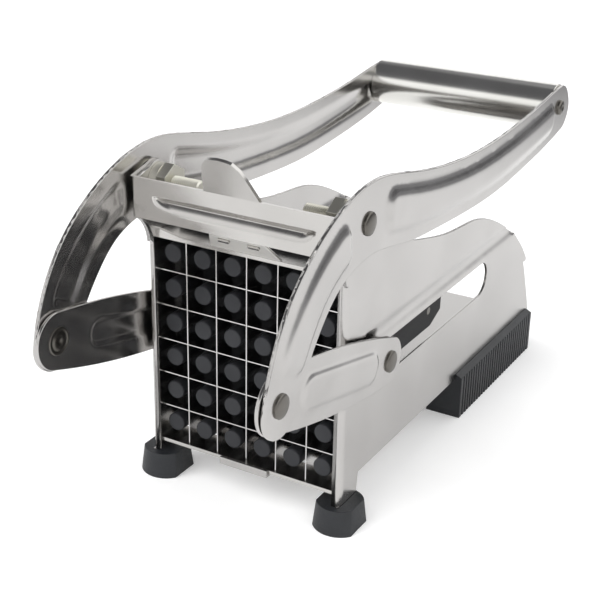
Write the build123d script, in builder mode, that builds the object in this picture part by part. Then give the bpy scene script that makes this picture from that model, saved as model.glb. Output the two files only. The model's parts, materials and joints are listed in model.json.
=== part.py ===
"""Lever-operated potato chip cutter that stands on a table.

Millimetres. +Z is up, +Y points from the blades to the handle, and X = 0 is the plane of symmetry.
The origin is on the table, under the middle of the overall length.
Outlines are given as (y, z) from the centre of the blades' front edges: y to the rear, z upwards.
Pieces that come in pairs are made on the right, at +X, and mirrored to the left.
"""
from build123d import *

import os
from math import asin, cos, degrees, hypot, radians, sin, sqrt

os.makedirs("parts", exist_ok=True)

# ---------------------------------------------------------------- driving dimensions
# Blade grid
columns = 6
rows = 6
cell_width = 12.6
cell_height = 13.68
top_row_trim = 1.35  # the top bar covers this much of the top row
bottom_row_trim = -0.35  # the bottom bar stands this much clear of the bottom row
blade_thickness = 0.5
blade_depth = 10.0
lap_clearance = 0.05
grid_height = 56.5  # centre of the grid above the table

# Blade cartridge
rail_thickness = 0.8
bar_thickness = 1.5
cartridge_lead = 0.9  # the cartridge's frame stands this far in front of the blades
cartridge_depth = 11.9
gusset_width = 13.0
gusset_height = 2.0
gusset_depth = 1.2

# Pull tab, hooked on two tangs of the cartridge
tab_base_half_width = 14.2
tab_top_half_width = 11.5
tab_length = 9.4
tab_corner_cut = 1.5
tab_base_height = 0.5  # the tab's sides run straight up to here
tab_lean = 40.0
tab_sheet = 1.0
tang_spacing = 12.0
tang_width = 4.4
tang_height = 1.3
tang_sheet = 1.0
tang_clearance = 0.4
tang_reach = 0.7  # the tangs stand this far out of the tab
tab_slot_middle = 6.3  # up the tab's slope
tab_foot = -1.5  # the slope starts this far down, before it is cut level

# Sheet body
wall_sheet = 1.2
floor_sheet = 1.0
seat_clearance = 0.3
slide_clearance = 0.5
body_bottom = -39.0
body_rear = 183.6
lip_width = 1.8
lip_top = 38.0  # above this the lip follows the wall's front edge forwards
flare_bow = 1.3
flare_bow_height = 5.0
flare_gap = 0.8  # below the brace
bend_radius = 2.0
leg_depth = 13.4
leg_taper = 0.8
tongue_half_width = 10.2
tongue_lip_height = 2.0
floor_front_gap = 1.6
floor_rear_margin = 2.1

# Slot for the pusher's bush, and the groove pressed inwards above it
slot_z = -1.1
slot_height = 14.4
slot_front = 20.5
slot_rear = 126.0
groove_bottom = 8.5
groove_height = 5.7
groove_depth = 1.3
groove_slope = 1.0
groove_front = 12.0

# Handle linkage
lever_pivot = (3.5, 59.5)
lower_pin = (-51.0, 17.5)
slide_pin_y = 29.2
grip_axis = (186.5, 58.5)
lever_swing = 80.0  # degrees from rest to the raised stop
arm_sheet = 1.5
arm_tip_radius = 10.4
arm_tip_shift = 0.9  # the tip's centre lies this far behind and below the lower pin
arm_end_reach = 12.9  # from the grip's axis to the end of the arms
arm_rib_height = 1.6
arm_rib_margin = 4.9
arm_rib_bevel = 1.5
arm_rib_corner = 4.5
pivot_flat_radius = 13.0
pin_flat_radius = 9.8
grip_flat_length = 7.5
link_sheet = 1.3
link_rib_height = 1.0
link_rib_slope = 45.0
link_rib_half_width = 6.3
link_rib_front_gap = 16.0
link_rib_rear_gap = 11.0
link_half_width = 12.0
link_front_radius = 10.3
link_rear_radius = 9.0
wall_to_link = 1.2
link_to_arm = 0.3
running_clearance = 0.05
washer_clearance = 0.3

# Fasteners
pivot_shank_radius = 2.95
pivot_head_radius = 4.1
rivet_shank_radius = 2.95
rivet_head_radius = 4.1
head_height = 1.3
head_round = 0.6
swage_radius = 5.0
swage_height = 0.4
swage_clearance = 0.1
link_rivet_stub = 0.2
pivot_washer_radius = 6.5
spacer_length = 3.2
spacer_radius = 6.4
stud_radius = 2.8
stud_length = 15.1  # beyond the spacer, through the nut
nut_flats = 12.0
nut_height = 4.0

# Grip
grip_radius = 10.0
grip_wall = 1.0
plug_length = 6.0
rod_radius = 2.2
rod_head_radius = 3.3
rod_head_height = 1.6

# Front brace
brace_front = -9.5
brace_bottom = 49.3
brace_top = 64.0
brace_lobe_radius = 7.6
lobe_step = 0.2  # the walls' lobes lie this far inside the brace's
step_z = 58.6
step_depth = 2.7
step_half_width = 32.5
recess_height = 6.1
recess_lift = 0.8  # the sheet's rear lies this much higher, which keeps its thickness on the slope
thumb_half_width = 11.0
thumb_length = 16.7
thumb_lean = 30.0

# Pusher
peg_radius = 3.6
peg_round = 0.6
peg_setback = 0.5  # peg tips lie this far behind the blades' front edges
plate_front = 14.0
plate_thickness = 6.0
backplate_sheet = 1.5
floor_gap = 0.3
plate_rise = 5.5  # the plate stands this far above the cartridge
ridge_clearance = 0.3
guide_thickness = 4.3
guide_gap = 0.4  # below the groove's ridge
guide_bottom = -4.6
guide_rear = 81.7
guide_chamfer_length = 9.0
guide_chamfer_height = 3.9
bush_clearance = 0.3
bush_reach = 0.7  # outside the walls
screw_radius = 1.2
screw_head_radius = 2.6
guide_screw_head_radius = 1.5
guide_screw_radius = 0.8
screw_head_height = 1.4
screw_grip = 3.0
screw_spread_x = 25.0
screw_spread_z = 27.0
guide_screw_place = (70.5, 2.4)

# Feet
foot_bottom_radius = 10.0
foot_top_radius = 8.7
foot_side_trim = 2.0  # the foot's sides are flat, this far inside its round
foot_drop = 3.71  # the feet's tops lie this far below the cartridge
foot_inset = 1.8  # the foot's axis inside the middle of the wall's sheet
foot_lead = 1.0  # the foot's axis in front of the leg's middle
leg_socket_depth = 5.0
socket_clearance = 0.1
pad_front = 98.9
pad_length = 81.5
pad_inner_x = 28.0
pad_lip_thickness = 3.0
pad_lip_height = 2.5
pad_lip_slope = 1.5
rib_pitch = 2.7
rib_groove_width = 0.9
rib_depth = 0.8
rib_margin = 2.0

# ---------------------------------------------------------------- derived places
grid_half_width = columns * cell_width / 2
grid_top = rows * cell_height / 2 - top_row_trim
grid_bottom = -rows * cell_height / 2 + bottom_row_trim
rail_outer = grid_half_width + rail_thickness
bar_top = grid_top + bar_thickness
bar_bottom = grid_bottom - bar_thickness
cartridge_rear = cartridge_depth - cartridge_lead

wall_inner = rail_outer + slide_clearance
wall_outer = wall_inner + wall_sheet
flange_outer = wall_outer + wall_sheet
link_inner = wall_outer + wall_to_link
link_outer = link_inner + link_sheet
arm_inner = link_outer + link_to_arm
arm_outer = arm_inner + arm_sheet

pivot_y, pivot_z = lever_pivot
pin_y, pin_z = lower_pin
grip_y, grip_z = grip_axis
tip_y = pin_y + arm_tip_shift
tip_z = pin_z - arm_tip_shift
handle_end = grip_y + arm_end_reach
front_reach = max(arm_tip_radius - tip_y, link_front_radius - pin_y)
blade_y = (front_reach - handle_end) / 2  # puts the origin under the middle of the length

lip_front = -cartridge_lead - seat_clearance - wall_sheet
floor_top = body_bottom + floor_sheet
floor_front = cartridge_rear + floor_front_gap
floor_rear = body_rear - floor_rear_margin
tongue_top = bar_bottom - seat_clearance
tongue_front = -cartridge_lead - seat_clearance - floor_sheet
lobe_radius = brace_lobe_radius - lobe_step
brace_shoulder_z = pivot_z + lobe_radius / 2
wall_front_top = brace_front + wall_sheet + lobe_step / 2
foot_top = bar_bottom - foot_drop
leg_middle = lip_front + leg_depth / 2
foot_x = wall_inner + wall_sheet / 2 - foot_inset
groove_top = groove_bottom + groove_height
ridge_inner = wall_inner - groove_depth
ridge_shift = groove_slope / 2  # sideways shift that keeps the sheet's thickness on the slopes

pusher_half_width = ridge_inner - ridge_clearance
pusher_bottom = floor_top + floor_gap
pusher_top = bar_top + plate_rise
plate_rear = plate_front + plate_thickness
backplate_rear = plate_rear + backplate_sheet
guide_outer = wall_inner - slide_clearance
guide_inner = guide_outer - guide_thickness
guide_top = groove_bottom - ridge_shift - guide_gap
bush_radius = slot_height / 2 - bush_clearance
slide_pin = (slide_pin_y, slot_z)

# The lower pin swings about the pivot, and the link holds its rear pin on the slot's line
crank_y = pin_y - pivot_y
crank_z = pin_z - pivot_z
link_length = hypot(slide_pin_y - pin_y, slot_z - pin_z)
link_angle = degrees(asin((slot_z - pin_z) / link_length))
swing = radians(lever_swing)
raised_pin_y = pivot_y + crank_y * cos(swing) - crank_z * sin(swing)
raised_pin_z = pivot_z + crank_y * sin(swing) + crank_z * cos(swing)
raised_link_angle = degrees(asin((slot_z - raised_pin_z) / link_length))
raised_slide_y = raised_pin_y + sqrt(link_length**2 - (slot_z - raised_pin_z) ** 2)
pusher_travel = raised_slide_y - slide_pin_y
link_swing = raised_link_angle - link_angle - lever_swing
print("pusher travel", round(pusher_travel, 3), "mm; link swing", round(link_swing, 3), "degrees")


# ---------------------------------------------------------------- planes and small helpers
def side(x):
    """Upright plane across X whose local axes are (y, z); it faces +X."""
    return Plane(origin=(x, blade_y, grid_height), x_dir=(0, 1, 0), z_dir=(1, 0, 0))


def front(y):
    """Upright plane across Y whose local axes are (x, z); it faces -Y."""
    return Plane(origin=(0, blade_y + y, grid_height), x_dir=(1, 0, 0), z_dir=(0, -1, 0))


def level(z):
    """Flat plane whose local axes are (x, y); it faces up."""
    return Plane(origin=(0, blade_y, grid_height + z), x_dir=(1, 0, 0), z_dir=(0, 0, 1))


def leaning(y, z, lean):
    """Plane through (y, z) whose upward axis leans forward; it faces the front and down."""
    tilt = radians(lean)
    origin = (0, blade_y + y, grid_height + z)
    return Plane(origin=origin, x_dir=(1, 0, 0), z_dir=(0, -cos(tilt), -sin(tilt)))


def near(anchor, *offsets):
    """Outline points given from a joint or a corner, so that the outline follows it."""
    return [(anchor[0] + y, anchor[1] + z) for y, z in offsets]


def inset(points, margin):
    """Outline points moved sideways, to the right of the way that they run."""
    moved = []
    for i, (y, z) in enumerate(points):
        before = points[max(i - 1, 0)]
        after = points[min(i + 1, len(points) - 1)]
        run_y = after[0] - before[0]
        run_z = after[1] - before[1]
        run = hypot(run_y, run_z)
        moved.append((y + margin * run_z / run, z - margin * run_y / run))
    return moved


def behind_lip(point):
    """The outline point one sheet's thickness behind the given one."""
    return (point[0] + wall_sheet, point[1])


def save(piece, name):
    """Label a finished piece and write it."""
    piece.part.label = name
    export_step(piece.part, f"parts/{name}.step")


def save_pair(piece, name):
    """Write a right-hand piece and its mirror image on the left."""
    save(piece, f"right_{name}")
    with BuildPart() as left_piece:
        mirror(piece.part, about=Plane.YZ)
    save(left_piece, f"left_{name}")


# ---------------------------------------------------------------- side walls
# A wall is one sheet: a lobe for the lever's pivot, a long slot, a groove pressed inwards above it,
# a lip turned in at the front that holds the blade cartridge, and a leg that stands in the foot.
rear_edge = near(
    (body_rear, body_bottom),
    (0, 0),
    (-3.5, 8.9),
    (-10.1, 23.7),
    (-12.7, 28.6),
    (-9.7, 28.4),
    (-9.4, 29.9),
    (-15.0, 36.0),
    (-19.2, 39.9),
    (-28.8, 47.9),
)
hump = near(
    (slot_rear, slot_z),
    (24.0, 12.7),
    (8.5, 20.7),
    (-5.8, 26.7),
    (-19.0, 30.0),
    (-31.2, 31.2),
    (-48.7, 33.2),
    (-65.5, 36.9),
    (-76.0, 39.5),
)
lobe_rear = near(lever_pivot, (9.5, -4.5), (lobe_radius, 0), (0, lobe_radius))
flare_top = (wall_front_top, brace_bottom - flare_gap)
flare_middle = (lip_front - flare_bow, lip_top + flare_bow_height)
flare_bottom = (lip_front, lip_top)
leg_outline = [
    (lip_front, foot_top),
    (lip_front + leg_taper, foot_top - leg_socket_depth + socket_clearance),
    (lip_front + leg_depth - leg_taper, foot_top - leg_socket_depth + socket_clearance),
    (lip_front + leg_depth, foot_top),
    (lip_front + leg_depth + 1, body_bottom),
    (body_rear, body_bottom),
]

with BuildPart() as right_side_wall:
    with BuildSketch(side(wall_inner)) as wall_face:
        with BuildLine():
            Polyline(*rear_edge)
            Spline(rear_edge[-1], *hump)
            Polyline(hump[-1], *lobe_rear, (wall_front_top, brace_shoulder_z), flare_top)
            ThreePointArc(flare_top, flare_middle, flare_bottom)
            Polyline(flare_bottom, *leg_outline)
        make_face()
        with Locations(lever_pivot):
            Circle(lobe_radius)
            Circle(pivot_shank_radius + running_clearance, mode=Mode.SUBTRACT)
        with Locations(((slot_front + slot_rear) / 2, slot_z)):
            SlotOverall(slot_rear - slot_front, slot_height, mode=Mode.SUBTRACT)
    extrude(amount=wall_sheet)
    # The groove: a ridge inside, and a channel of the same shape outside
    with BuildSketch(front(groove_front)):
        with BuildLine():
            Polyline(
                (wall_inner, groove_bottom - ridge_shift),
                (ridge_inner, groove_bottom - ridge_shift + groove_slope),
                (ridge_inner, groove_top + ridge_shift - groove_slope),
                (wall_inner, groove_top + ridge_shift),
                (wall_inner + wall_sheet / 2, groove_top + ridge_shift),
                (wall_inner + wall_sheet / 2, groove_bottom - ridge_shift),
                close=True,
            )
        make_face()
    extrude(amount=groove_front - body_rear)
    with BuildSketch(front(groove_front + wall_sheet)):
        with BuildLine():
            Polyline(
                (wall_outer, groove_bottom),
                (wall_outer - groove_depth, groove_bottom + groove_slope),
                (wall_outer - groove_depth, groove_top - groove_slope),
                (wall_outer, groove_top),
                close=True,
            )
        make_face()
    extrude(amount=groove_front + wall_sheet - body_rear, mode=Mode.SUBTRACT)
    # The lip, a band along the front edge, with its bend rounded outside
    with BuildSketch(side(wall_inner - lip_width)):
        with BuildLine():
            Line((lip_front, foot_top), flare_bottom)
            ThreePointArc(flare_bottom, flare_middle, flare_top)
            Line(flare_top, behind_lip(flare_top))
            ThreePointArc(behind_lip(flare_top), behind_lip(flare_middle), behind_lip(flare_bottom))
            Polyline(behind_lip(flare_bottom), (lip_front + wall_sheet, foot_top), (lip_front, foot_top))
        make_face()
    extrude(amount=lip_width)
    with BuildSketch(level(foot_top)):
        with Locations((wall_outer, lip_front)):
            Rectangle(bend_radius, bend_radius, align=(Align.MAX, Align.MIN))
        with Locations((wall_outer - bend_radius, lip_front + bend_radius)):
            Circle(bend_radius, mode=Mode.SUBTRACT)
    extrude(amount=lip_top - foot_top, mode=Mode.SUBTRACT)
    # Only what lies within the outline stays, so that the groove ends at the rear edge
    extrude(wall_face.sketch, amount=lip_width + wall_sheet, both=True, mode=Mode.INTERSECT)
save_pair(right_side_wall, "side_wall")

# ---------------------------------------------------------------- floor tray
# A sheet between the walls, whose middle steps down and runs under the cartridge to an upturned lip.
tongue_outline = [
    (tongue_front, tongue_top + tongue_lip_height),
    (tongue_front, tongue_top - floor_sheet),
    (floor_front + floor_sheet, tongue_top - floor_sheet),
    (floor_front + floor_sheet, floor_top),
    (floor_front, floor_top),
    (floor_front, tongue_top),
    (tongue_front + floor_sheet, tongue_top),
    (tongue_front + floor_sheet, tongue_top + tongue_lip_height),
]

with BuildPart() as floor_tray:
    with BuildSketch(level(body_bottom)):
        with Locations((0, floor_front)):
            Rectangle(2 * wall_inner, floor_rear - floor_front, align=(Align.CENTER, Align.MIN))
    extrude(amount=floor_sheet)
    with BuildSketch(side(-tongue_half_width)):
        with BuildLine():
            Polyline(*tongue_outline, close=True)
        make_face()
    extrude(amount=2 * tongue_half_width)
save(floor_tray, "floor_tray")

# ---------------------------------------------------------------- front brace
# A cross sheet with a flange outside each wall. Its middle is pressed back below a sharp edge and
# curves out flush at the bottom; a thumb rest leans forward from its top edge.
brace_rear = brace_front + wall_sheet
recess_curve = ((1.0, 0.05), (0.55, 0.25), (0.2, 0.5), (0.05, 0.75), (0.0, 1.0))  # shares of depth and height
recess = [(step_depth * deep, step_z - recess_height * down) for deep, down in recess_curve]
pressed_outline = [
    (brace_front, brace_top),
    (brace_front, step_z),
    *((brace_front + deep, z) for deep, z in recess),
    (brace_front, brace_bottom),
    (brace_rear, brace_bottom),
    *((brace_rear + deep, z + recess_lift) for deep, z in reversed(recess)),
    (brace_rear, step_z + 2 * recess_lift),
    (brace_rear, brace_top),
]
flange_outline = [
    (brace_front, brace_bottom),
    (pivot_y, pivot_z - brace_lobe_radius),
    (pivot_y, pivot_z + brace_lobe_radius),
    (brace_front, brace_top),
]
thumb_bottom = -0.7
thumb_shoulder = [(9.0, 8.0), (7.4, 13.0), (5.0, 15.8)]

with BuildPart() as front_brace:
    with BuildSketch(side(-step_half_width)):
        with BuildLine():
            Polyline(*pressed_outline, close=True)
        make_face()
    extrude(amount=2 * step_half_width)
    for hand in (-1, 1):
        with BuildSketch(side(hand * step_half_width)):
            with Locations((brace_front, brace_bottom)):
                Rectangle(wall_sheet, brace_top - brace_bottom, align=Align.MIN)
        extrude(amount=hand * (flange_outer - step_half_width))
        with BuildSketch(side(hand * wall_outer)):
            with BuildLine():
                Polyline(*flange_outline, close=True)
            make_face()
            with Locations(lever_pivot):
                Circle(brace_lobe_radius)
                Circle(pivot_shank_radius + running_clearance, mode=Mode.SUBTRACT)
        extrude(amount=hand * wall_sheet)
    with BuildSketch(level(brace_bottom)):
        for hand in (-1, 1):
            corner = Locations((hand * flange_outer, brace_front))
            outer = Align.MAX if hand > 0 else Align.MIN
            with corner:
                Rectangle(bend_radius, bend_radius, align=(outer, Align.MIN))
            with Locations((hand * (flange_outer - bend_radius), brace_front + bend_radius)):
                Circle(bend_radius, mode=Mode.SUBTRACT)
    extrude(amount=brace_top - brace_bottom, mode=Mode.SUBTRACT)
    with BuildSketch(leaning(brace_front, brace_top, thumb_lean)):
        with BuildLine():
            right_side = [(thumb_half_width, thumb_bottom), (thumb_half_width, 0), *thumb_shoulder]
            left_side = [(-x, y) for x, y in reversed(right_side)]
            Polyline(*right_side)
            ThreePointArc(right_side[-1], (0, thumb_length), left_side[0])
            Polyline(*left_side)
            Line(left_side[-1], right_side[0])
        make_face()
    extrude(amount=-wall_sheet)
save(front_brace, "front_brace")

# ---------------------------------------------------------------- blade cartridge
# A sheet frame with a wedge on each top corner and two tangs that the pull tab hooks on.
tang_back = tab_sheet + tang_clearance / 2

with BuildPart() as blade_frame:
    with BuildSketch(front(-cartridge_lead)):
        with Locations((0, (bar_top + bar_bottom) / 2)):
            Rectangle(2 * rail_outer, bar_top - bar_bottom)
        with Locations((0, (grid_top + grid_bottom) / 2)):
            Rectangle(2 * grid_half_width, grid_top - grid_bottom, mode=Mode.SUBTRACT)
    extrude(amount=-cartridge_depth)
    with BuildSketch(front(-cartridge_lead)):
        for hand in (-1, 1):
            with BuildLine():
                Polyline(
                    (hand * rail_outer, bar_top),
                    (hand * rail_outer, bar_top + gusset_height),
                    (hand * (rail_outer - 2), bar_top + gusset_height),
                    (hand * (rail_outer - gusset_width), bar_top),
                    close=True,
                )
            make_face()
    extrude(amount=-gusset_depth)
    with BuildSketch(leaning(-cartridge_lead, bar_top, tab_lean).offset(-tang_back)):
        with Locations((0, tab_slot_middle + tang_height / 2)):
            with GridLocations(tang_spacing, 1, 2, 1):
                Rectangle(tang_width, tab_slot_middle + tang_height + 1, align=(Align.CENTER, Align.MAX))
    extrude(amount=-tang_sheet)
    with BuildSketch(leaning(-cartridge_lead, bar_top, tab_lean).offset(-tang_back)):
        with Locations((0, tab_slot_middle)):
            with GridLocations(tang_spacing, 1, 2, 1):
                Rectangle(tang_width, tang_height)
    extrude(amount=tang_back + tang_reach)
save(blade_frame, "blade_frame")

with BuildPart() as pull_tab:
    with BuildSketch(leaning(-cartridge_lead, bar_top, tab_lean)):
        with BuildLine():
            right_side = [
                (tab_base_half_width, tab_foot),
                (tab_base_half_width, tab_base_height),
                (tab_top_half_width, tab_length - tab_corner_cut),
                (tab_top_half_width - tab_corner_cut, tab_length),
            ]
            left_side = [(-x, y) for x, y in reversed(right_side)]
            Polyline(*right_side, *left_side, close=True)
        make_face()
        with Locations((0, tab_slot_middle)):
            with GridLocations(tang_spacing, 1, 2, 1):
                Rectangle(tang_width + tang_clearance, tang_height + tang_clearance, mode=Mode.SUBTRACT)
    extrude(amount=-tab_sheet)
    split(bisect_by=level(bar_top), keep=Keep.TOP)
save(pull_tab, "pull_tab")

# ---------------------------------------------------------------- blades
# Upright and level strips, halved into each other, between the sides of the cartridge.
lap_depth = blade_depth / 2 + lap_clearance / 2
lap_width = blade_thickness + 2 * lap_clearance

with BuildPart() as vertical_blades:
    with BuildSketch(front(0)):
        with Locations((0, (grid_top + grid_bottom) / 2)):
            with GridLocations(cell_width, 1, columns - 1, 1):
                Rectangle(blade_thickness, grid_top - grid_bottom)
    extrude(amount=-blade_depth)
    with BuildSketch(front(blade_depth)):
        with GridLocations(1, cell_height, 1, rows - 1):
            Rectangle(2 * grid_half_width, lap_width)
    extrude(amount=lap_depth, mode=Mode.SUBTRACT)
save(vertical_blades, "vertical_blades")

with BuildPart() as horizontal_blades:
    with BuildSketch(front(0)):
        with GridLocations(1, cell_height, 1, rows - 1):
            Rectangle(2 * grid_half_width, blade_thickness)
    extrude(amount=-blade_depth)
    with BuildSketch(front(0)):
        with Locations((0, (grid_top + grid_bottom) / 2)):
            with GridLocations(cell_width, 1, columns - 1, 1):
                Rectangle(lap_width, grid_top - grid_bottom)
    extrude(amount=-lap_depth, mode=Mode.SUBTRACT)
save(horizontal_blades, "horizontal_blades")

# ---------------------------------------------------------------- feet
# A front foot is a cone with flat sides and a socket for the wall's leg.
foot_middle = leg_middle - foot_lead
foot_taper = foot_bottom_radius - foot_top_radius

with BuildPart() as right_front_foot:
    for height, shrink in ((-grid_height, 0), (foot_top, foot_taper)):
        with BuildSketch(level(height)):
            with Locations((foot_x, foot_middle)):
                Circle(foot_bottom_radius - shrink)
                Rectangle(
                    2 * (foot_bottom_radius - foot_side_trim - shrink / 2),
                    2 * foot_bottom_radius,
                    mode=Mode.INTERSECT,
                )
    loft()
    with BuildSketch(level(foot_top)):
        with Locations((wall_inner + wall_sheet / 2, leg_middle)):
            Rectangle(wall_sheet + 2 * socket_clearance, leg_depth + 2 * socket_clearance)
    extrude(amount=-leg_socket_depth, mode=Mode.SUBTRACT)
save_pair(right_front_foot, "front_foot")

# The rear pad's body lies under the wall and the floor, and its lip stands outside the wall.
pad_outer = wall_outer + pad_lip_thickness
rib_count = int((pad_length - 2 * rib_margin) / rib_pitch) + 1
lip_foot = body_bottom + pad_lip_height - pad_lip_slope

with BuildPart() as right_rear_pad:
    with BuildSketch(front(pad_front)):
        with BuildLine():
            Polyline(
                (pad_inner_x, -grid_height),
                (pad_outer, -grid_height),
                (pad_outer, lip_foot),
                (wall_outer, body_bottom + pad_lip_height),
                (wall_outer, body_bottom),
                (pad_inner_x, body_bottom),
                close=True,
            )
        make_face()
    extrude(amount=-pad_length)
    with BuildSketch(level(-grid_height)):
        with Locations((pad_outer, pad_front + pad_length / 2)):
            with GridLocations(1, rib_pitch, 1, rib_count):
                Rectangle(2 * rib_depth, rib_groove_width)
    extrude(amount=grid_height + lip_foot, mode=Mode.SUBTRACT)
save_pair(right_rear_pad, "rear_pad")

# ---------------------------------------------------------------- lever pivots
# Each is a bolt through the arm, a washer, the brace and the wall, held by a spacer and a nut.
washer_outer = arm_inner - washer_clearance
spacer_inner = wall_inner - spacer_length
nut_inner = spacer_inner - nut_height
stud_end = spacer_inner - stud_length
pivot_head_start = arm_outer + running_clearance
bore_radius = pivot_shank_radius + running_clearance

with BuildPart() as right_pivot_bolt:
    for start, end, radius in (
        (stud_end, spacer_inner, stud_radius),
        (spacer_inner, pivot_head_start, pivot_shank_radius),
        (pivot_head_start, pivot_head_start + head_height, pivot_head_radius),
    ):
        with BuildSketch(side(start)):
            with Locations(lever_pivot):
                Circle(radius)
        extrude(amount=end - start)
    fillet(right_pivot_bolt.edges().group_by(Axis.X)[-1], head_round)
    chamfer(right_pivot_bolt.edges().group_by(Axis.X)[0], stud_radius / 5)
save_pair(right_pivot_bolt, "pivot_bolt")

with BuildPart() as right_pivot_washer:
    with BuildSketch(side(flange_outer)):
        with Locations(lever_pivot):
            Circle(pivot_washer_radius)
            Circle(bore_radius, mode=Mode.SUBTRACT)
    extrude(amount=washer_outer - flange_outer)
save_pair(right_pivot_washer, "pivot_washer")

with BuildPart() as right_pivot_spacer:
    with BuildSketch(side(spacer_inner)):
        with Locations(lever_pivot):
            Circle(spacer_radius)
            Circle(bore_radius, mode=Mode.SUBTRACT)
    extrude(amount=spacer_length)
save_pair(right_pivot_spacer, "pivot_spacer")

with BuildPart() as right_pivot_nut:
    with BuildSketch(side(nut_inner)):
        with Locations(lever_pivot):
            RegularPolygon(nut_flats / 2, 6, major_radius=False, rotation=30)
            Circle(stud_radius + running_clearance, mode=Mode.SUBTRACT)
    extrude(amount=nut_height)
save_pair(right_pivot_nut, "pivot_nut")

# ---------------------------------------------------------------- lever arms
# An arm is one sheet from the lower pin over the pivot to the grip. A rib is pressed out of it
# between the flats round the pins; the hollow behind the rib keeps the sheet's thickness.
arm_top = [
    *near(lower_pin, (arm_tip_shift - arm_tip_radius, -arm_tip_shift), (-7.0, 9.5), (4.1, 29.8)),
    *near(lever_pivot, (-31.9, 3.0), (-9.6, 12.0), (6.0, 13.6), (17.5, 12.2), (36.7, 8.1), (66.8, 3.4)),
    *near(grip_axis, (-86.5, 2.5), (-56.5, 3.3), (-24.6, 6.2), (-4.0, 8.8), (2.3, 9.3)),
]
arm_bottom = [
    *near(lower_pin, (9.7, -5.1), (14.1, 2.5), (24.2, 15.7), (35.4, 25.1)),
    *near(lever_pivot, (-9.8, -13.4), (2.7, -11.8), (28.4, -15.7), (52.2, -18.2)),
    *near(grip_axis, (-91.5, -19.5), (-67.8, -19.5), (-43.8, -17.7), (-18.1, -14.9), (5.1, -10.9)),
]
arm_end = near(grip_axis, (7.2, 7.6), (11.6, 2.5), (arm_end_reach, -1.5), (10.9, -7.3))
tip_below = (tip_y, tip_z - arm_tip_radius)

pressings = []
for start, shrink in ((arm_outer, 0), (arm_inner, arm_sheet)):
    rib_top = [lower_pin, *inset(arm_top[1:], arm_rib_margin + shrink)]
    rib_bottom = [lower_pin, *inset(arm_bottom[1:], -arm_rib_margin - shrink)]
    with BuildPart() as pressing:
        with BuildSketch(side(start)) as rib_face:
            with BuildLine():
                Spline(*rib_top)
                Line(rib_top[-1], rib_bottom[-1])
                Spline(*rib_bottom)
            make_face()
            with Locations(lever_pivot):
                Circle(pivot_flat_radius + shrink, mode=Mode.SUBTRACT)
            with Locations(lower_pin):
                Circle(pin_flat_radius + shrink, mode=Mode.SUBTRACT)
            with Locations((grip_y - grip_flat_length - shrink, grip_z)):
                Rectangle(
                    2 * arm_end_reach,
                    4 * grip_radius,
                    align=(Align.MIN, Align.CENTER),
                    mode=Mode.SUBTRACT,
                )
            fillet(rib_face.vertices(), arm_rib_corner - shrink)
        extrude(amount=arm_rib_height)
        chamfer(pressing.edges().group_by(Axis.X)[-1], arm_rib_bevel)
    pressings.append(pressing.part)
arm_rib, arm_hollow = pressings

with BuildPart() as right_lever_arm:
    with BuildSketch(side(arm_inner)):
        with BuildLine():
            Spline(*arm_top)
            Spline(arm_top[-1], *arm_end, arm_bottom[-1])
            Spline(*arm_bottom)
            ThreePointArc(arm_bottom[0], tip_below, arm_top[0])
        make_face()
        with Locations(lever_pivot):
            Circle(bore_radius, mode=Mode.SUBTRACT)
        with Locations(lower_pin):
            Circle(rivet_shank_radius + running_clearance, mode=Mode.SUBTRACT)
        with Locations(grip_axis):
            Circle(rod_radius + running_clearance, mode=Mode.SUBTRACT)
    extrude(amount=arm_sheet)
    add(arm_rib)
    add(arm_hollow, mode=Mode.SUBTRACT)
save_pair(right_lever_arm, "lever_arm")

# ---------------------------------------------------------------- grip
with BuildPart() as grip_tube:
    with BuildSketch(side(-arm_inner)):
        with Locations(grip_axis):
            Circle(grip_radius)
            Circle(grip_radius - grip_wall, mode=Mode.SUBTRACT)
    extrude(amount=2 * arm_inner)
save(grip_tube, "grip_tube")

with BuildPart() as right_grip_plug:
    with BuildSketch(side(arm_inner - plug_length)):
        with Locations(grip_axis):
            Circle(grip_radius - grip_wall - running_clearance)
            Circle(rod_radius + running_clearance, mode=Mode.SUBTRACT)
    extrude(amount=plug_length)
save_pair(right_grip_plug, "grip_plug")

with BuildPart() as grip_tie_rod:
    rod_end = arm_outer + rod_head_height
    for start, end, radius in (
        (-rod_end, -arm_outer, rod_head_radius),
        (-arm_outer, arm_outer, rod_radius),
        (arm_outer, rod_end, rod_head_radius),
    ):
        with BuildSketch(side(start)):
            with Locations(grip_axis):
                Circle(radius)
        extrude(amount=end - start)
    fillet(grip_tie_rod.edges().group_by(Axis.X)[-1], head_round)
    fillet(grip_tie_rod.edges().group_by(Axis.X)[0], head_round)
save(grip_tie_rod, "grip_tie_rod")

# ---------------------------------------------------------------- links
# A link's local x axis runs from its front pin to its rear pin.
link_run = (slide_pin_y - pin_y, slot_z - pin_z)


def along_link(x):
    """Upright plane across X at the front pin; its local x axis runs along the link."""
    origin = (x, blade_y + pin_y, grid_height + pin_z)
    return Plane(origin=origin, x_dir=(0, *link_run), z_dir=(1, 0, 0))


rib_middle = (link_rib_front_gap + link_length - link_rib_rear_gap) / 2
link_rib_length = link_length - link_rib_front_gap - link_rib_rear_gap

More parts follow.
